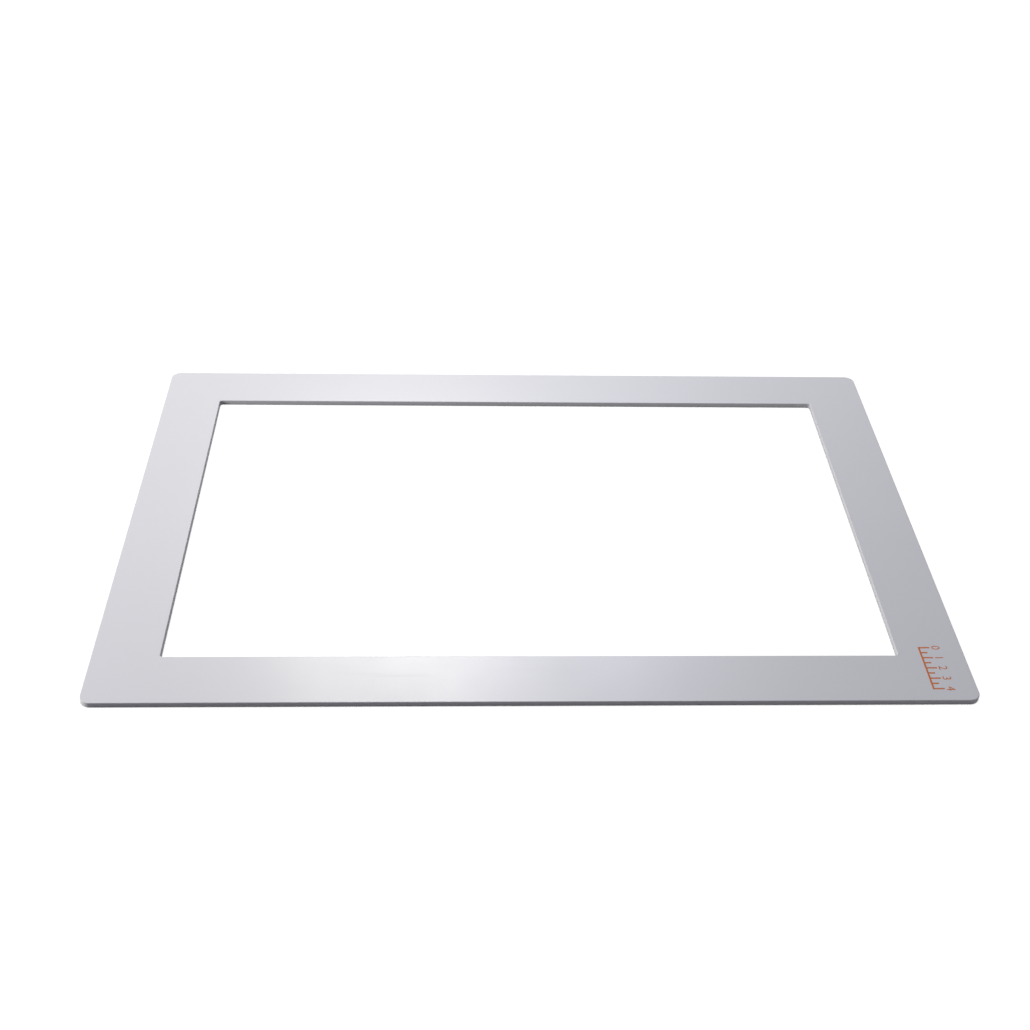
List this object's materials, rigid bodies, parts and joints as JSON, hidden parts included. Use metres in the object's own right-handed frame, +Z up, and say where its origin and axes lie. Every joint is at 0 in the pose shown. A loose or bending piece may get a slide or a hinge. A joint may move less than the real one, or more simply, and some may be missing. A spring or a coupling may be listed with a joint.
{
  "type": "pastry spreading frame",
  "caption": "Flat rectangular ring cut from white plastic sheet, with rounded corners and an open window, laid on a tray or mat to set the outline and depth of a spread layer.",
  "frame": {"origin": "middle of the underside, at the centre of the window", "axes": "+X along the long side, +Y towards the back, +Z up out of the top face"},
  "size_m": [0.6, 0.4, 0.004],
  "materials": {
    "white_plastic": "satin, white with a cool cast, milled edges",
    "orange_ink": "thin matt screen-printed ink"
  },
  "bodies": {
    "root": {"frame_plate": "white_plastic"}
  },
  "joints": []
}
